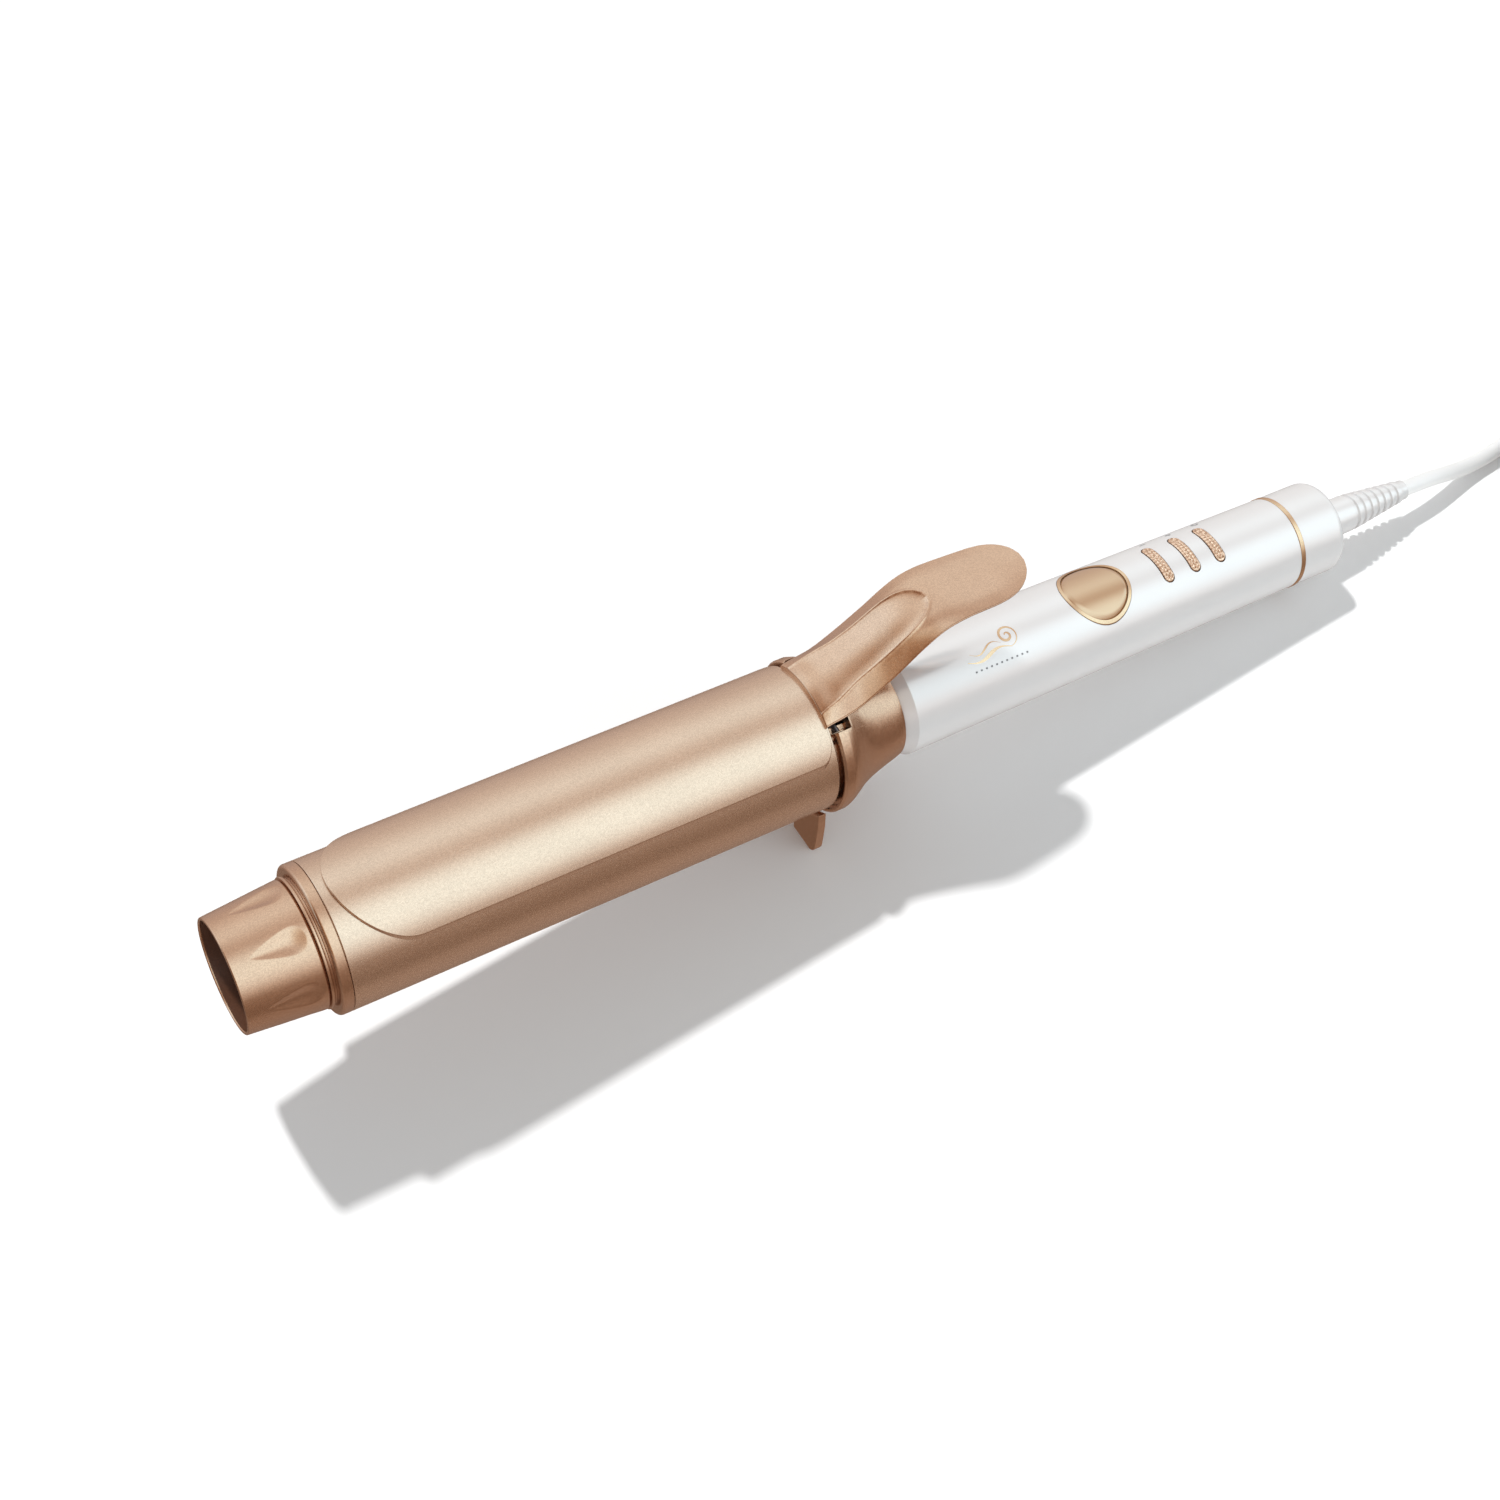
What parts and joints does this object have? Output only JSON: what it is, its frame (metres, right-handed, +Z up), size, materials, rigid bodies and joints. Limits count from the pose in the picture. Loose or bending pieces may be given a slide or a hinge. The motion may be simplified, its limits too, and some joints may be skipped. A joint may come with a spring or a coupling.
{
  "type": "curling iron",
  "caption": "Curling iron with a wide clamp barrel, hollow cool tip, thumb lever, flip-out stand, round display, push buttons and a swivel cord with a plug.",
  "frame": {"origin": "on the floor plane under the middle of the tool's box, measured without the cord", "axes": "+X along the tool towards the cord, +Z up, +Y to the left seen from the cord end; the tool axis falls 6.1 degrees towards +X"},
  "size_m": [0.6108, 0.0993, 0.0878],
  "materials": {
    "rose_gold_coating": "satin metallic coating",
    "rose_gold_plastic": "satin metallic paint",
    "pearl_plastic": "pearl gloss",
    "gold_plating": "satin plating",
    "slip_ring_brass": "turned",
    "lens_plastic": "gloss",
    "cord_plastic": "satin",
    "dark_plastic": "matte",
    "grey_plastic": "matte",
    "spring_steel": "brushed",
    "plated_pins": "polished",
    "spreader_aluminium": "extruded",
    "heater_ceramic": "matte",
    "board_green": "solder mask",
    "wire_red": "silicone sleeve",
    "wire_blue": "silicone sleeve"
  },
  "bodies": {
    "root": {"cool_tip": "rose_gold_plastic", "tip_screw": "spring_steel", "front_ring": "rose_gold_plastic", "barrel_tube": "rose_gold_coating", "ptc_heater": "heater_ceramic", "heat_block_upper": "spreader_aluminium", "heat_block_lower": "spreader_aluminium", "block_springs": "spring_steel", "temperature_sensor": "dark_plastic", "thermal_fuse": "heater_ceramic", "heater_leads": "wire_red", "rear_insulator": "heater_ceramic", "rear_collar": "rose_gold_plastic", "hinge_pin": "spring_steel", "clamp_spring": "spring_steel", "stand_pin": "spring_steel", "handle_sleeve": "pearl_plastic", "chassis": "grey_plastic", "circuit_board": "board_green", "board_screws": "spring_steel", "triac": "dark_plastic", "capacitor": "wire_blue", "tact_switches": "dark_plastic", "display_module": "grey_plastic", "display_bezel": "gold_plating", "display_lens": "lens_plastic", "mains_wires": "wire_blue", "trim_ring": "gold_plating", "end_cap": "pearl_plastic", "swivel_retainer": "grey_plastic", "brush_contacts": "spring_steel", "cord": "cord_plastic", "cord_coil": "cord_plastic", "cord_tie": "dark_plastic", "plug_body": "cord_plastic", "plug_pins": "plated_pins"},
    "clamp": {"clamp_plate": "rose_gold_coating", "thumb_lever": "rose_gold_plastic", "lever_rivets": "spring_steel"},
    "stand": {"stand": "rose_gold_plastic"},
    "minus_button": {"minus_button": "gold_plating"},
    "plus_button": {"plus_button": "gold_plating"},
    "power_button": {"power_button": "gold_plating"},
    "swivel": {"swivel_core": "cord_plastic", "slip_rings": "slip_ring_brass", "cord_boot": "cord_plastic"}
  },
  "joints": [
    {"name": "clamp_hinge", "type": "hinge", "parent": "root", "child": "clamp", "pos_m": [-0.02338, 0, 0.05547], "axis": [0, 1, 0], "range_deg": [0, 22], "stiffness_Nm_per_rad": 0.5, "springref_deg": -20.05, "deforming": ["clamp_spring"]},
    {"name": "stand_hinge", "type": "hinge", "parent": "root", "child": "stand", "pos_m": [-0.02672, 0, 0.01006], "axis": [0, -1, 0], "range_deg": [0, 90]},
    {"name": "minus_press", "type": "slide", "parent": "root", "child": "minus_button", "axis": [-0.1062, 0, -0.9943], "range_m": [0, 0.0008], "stiffness_N_per_m": 200, "springref_m": -0.001},
    {"name": "plus_press", "type": "slide", "parent": "root", "child": "plus_button", "axis": [-0.1062, 0, -0.9943], "range_m": [0, 0.0008], "stiffness_N_per_m": 200, "springref_m": -0.001},
    {"name": "power_press", "type": "slide", "parent": "root", "child": "power_button", "axis": [-0.1062, 0, -0.9943], "range_m": [0, 0.0008], "stiffness_N_per_m": 200, "springref_m": -0.001},
    {"name": "cord_swivel", "type": "hinge", "parent": "root", "child": "swivel", "pos_m": [0.19373, 0, 0.0167], "axis": [0.9943, 0, -0.1062], "continuous": true}
  ]
}
